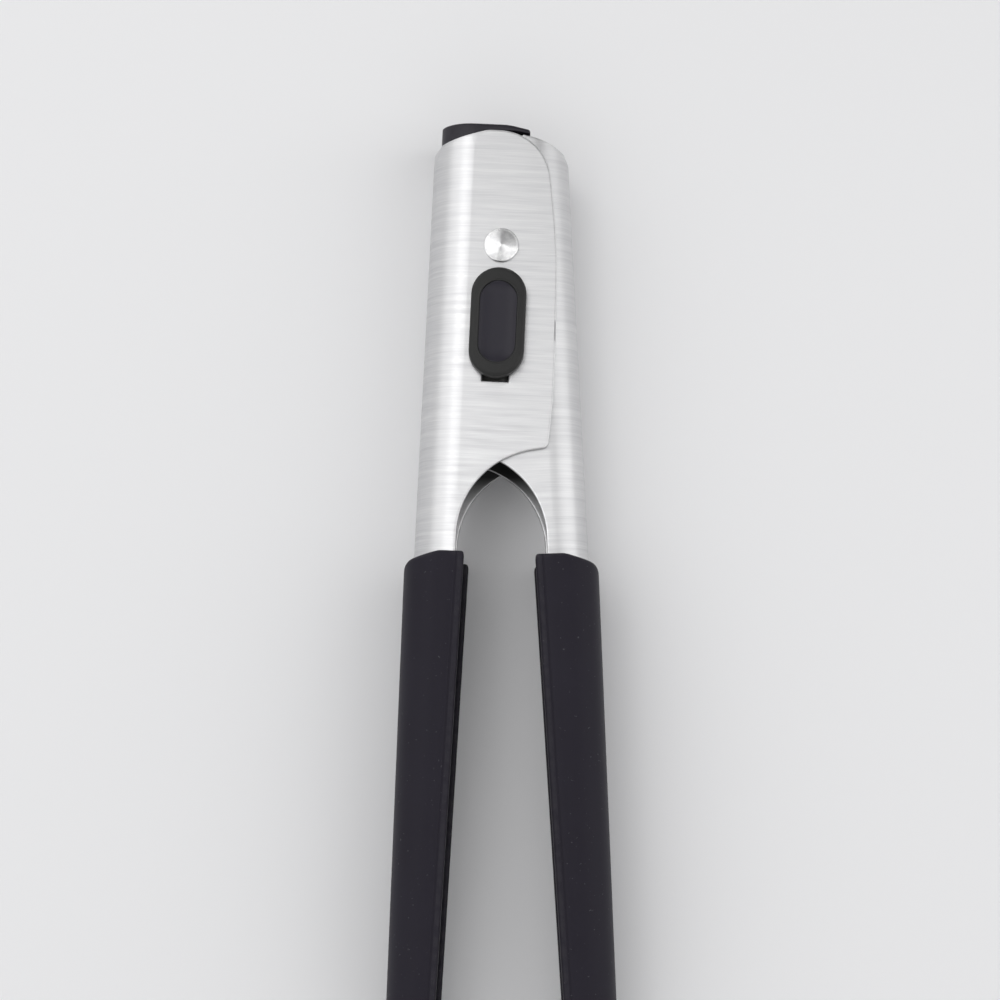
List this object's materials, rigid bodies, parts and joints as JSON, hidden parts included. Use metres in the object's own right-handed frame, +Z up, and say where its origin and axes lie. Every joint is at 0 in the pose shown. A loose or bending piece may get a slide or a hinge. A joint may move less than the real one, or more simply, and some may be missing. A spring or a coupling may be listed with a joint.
{
  "type": "spring loaded kitchen tongs",
  "caption": "Sprung stainless kitchen tongs with nested channel arms, soft black grips, a slide lock on the pivot head and scalloped scoops.",
  "frame": {"origin": "middle of the underside of the closed tongs, which lie on their side", "axes": "+Y from the tips to the head, +Z up along the pivot axis through the near cheek, +X to the right arm"},
  "size_m": [0.053, 0.308, 0.0275],
  "materials": {
    "brushed_steel": "satin stainless sheet, brushed across the arm",
    "turned_steel": "turned stainless with fine concentric marks",
    "spring_wire": "drawn spring steel wire",
    "black_nylon": "moulded black nylon, fine satin texture",
    "bearing_nylon": "natural nylon",
    "button_rubber": "matte black soft-touch rubber",
    "grip_rubber": "matte black soft-touch rubber with a very fine grain"
  },
  "bodies": {
    "left_arm_body": {"left_arm": "brushed_steel", "pivot_rivet": "turned_steel", "rivet_washer": "turned_steel", "spacer_sleeve": "bearing_nylon", "near_cheek_washer": "bearing_nylon", "far_cheek_washer": "bearing_nylon", "torsion_spring": "spring_wire", "end_cap": "black_nylon", "left_grip": "grip_rubber", "left_grip_core": "black_nylon", "left_grip_rivets": "turned_steel"},
    "right_arm_body": {"right_arm": "brushed_steel", "right_grip": "grip_rubber", "right_grip_core": "black_nylon", "right_grip_rivets": "turned_steel"},
    "lock_slider": {"lock_button": "button_rubber", "lock_pad": "button_rubber", "lock_stud": "turned_steel", "lock_retainer": "turned_steel", "lock_spring": "spring_wire"}
  },
  "joints": [
    {"name": "pivot", "type": "hinge", "parent": "left_arm_body", "child": "right_arm_body", "pos_m": [0, 0.12308, 0], "axis": [0, 0, 1], "range_deg": [0, 28], "stiffness_Nm_per_rad": 0.38, "springref_deg": 60.16},
    {"name": "lock_slide", "type": "slide", "parent": "left_arm_body", "child": "lock_slider", "axis": [-0.0454, -0.999, 0], "range_m": [0, 0.0045]}
  ]
}
